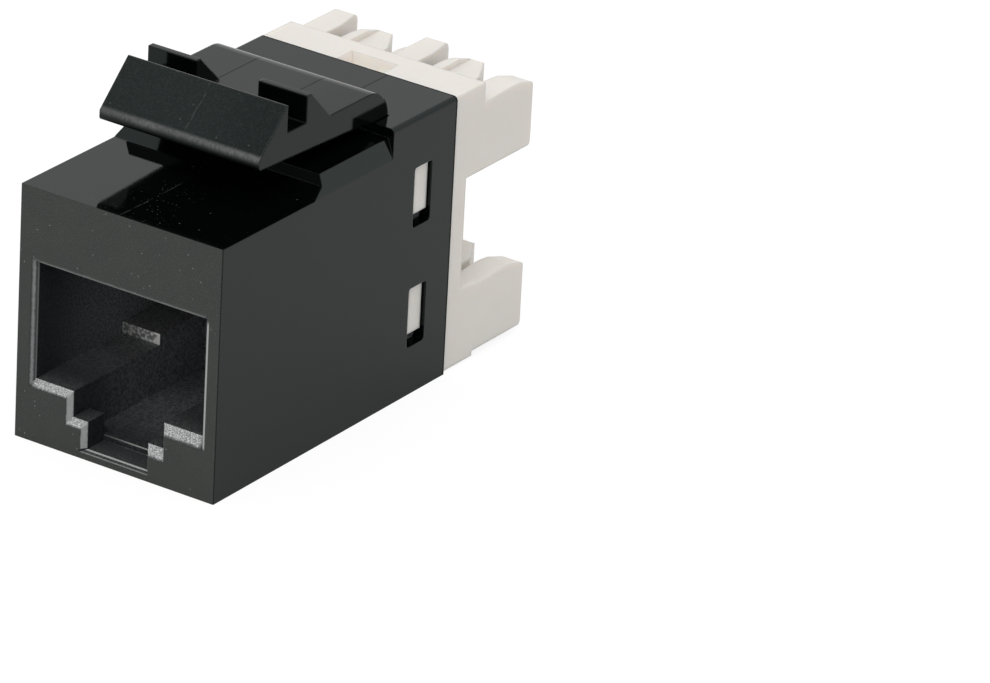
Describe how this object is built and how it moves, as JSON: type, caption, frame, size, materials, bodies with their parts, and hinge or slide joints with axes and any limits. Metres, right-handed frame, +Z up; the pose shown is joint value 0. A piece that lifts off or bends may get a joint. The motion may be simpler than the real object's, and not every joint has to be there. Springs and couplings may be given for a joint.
{
  "type": "keystone jack",
  "caption": "Keystone network jack: moulded plug housing with a sprung panel latch and a white insulation-displacement wiring block behind it.",
  "frame": {"origin": "middle of the lower edge of the front face", "axes": "+X to the right across the front face, +Y from the front face to the wiring block, +Z up towards the latch"},
  "size_m": [0.0146, 0.0319, 0.0223],
  "materials": {
    "housing_plastic": "black moulded plastic, finely matt in front and glossy above",
    "latch_plastic": "black moulded plastic, glossy",
    "insert_plastic": "black moulded plastic, dull",
    "board_laminate": "green solder mask on glass laminate",
    "block_plastic": "ivory moulded plastic, satin",
    "gilt_contacts": "gold-plated spring wire",
    "tinned_blades": "tin-plated phosphor bronze"
  },
  "bodies": {
    "jack": {"housing": "housing_plastic", "contact_insert": "insert_plastic", "circuit_board": "board_laminate", "idc_block": "block_plastic", "contact_wire_1": "gilt_contacts", "contact_wire_2": "gilt_contacts", "contact_wire_3": "gilt_contacts", "contact_wire_4": "gilt_contacts", "contact_wire_5": "gilt_contacts", "contact_wire_6": "gilt_contacts", "contact_wire_7": "gilt_contacts", "contact_wire_8": "gilt_contacts", "idc_blade_low_1": "tinned_blades", "idc_blade_low_2": "tinned_blades", "idc_blade_low_3": "tinned_blades", "idc_blade_low_4": "tinned_blades", "idc_blade_high_1": "tinned_blades", "idc_blade_high_2": "tinned_blades", "idc_blade_high_3": "tinned_blades", "idc_blade_high_4": "tinned_blades"},
    "latch": {"latch_arm": "latch_plastic"}
  },
  "joints": [
    {"name": "latch_flex", "type": "hinge", "parent": "jack", "child": "latch", "pos_m": [0, 0.0165, 0.0183], "axis": [1, 0, 0], "range_deg": [0, 9], "stiffness_Nm_per_rad": 0.05}
  ]
}
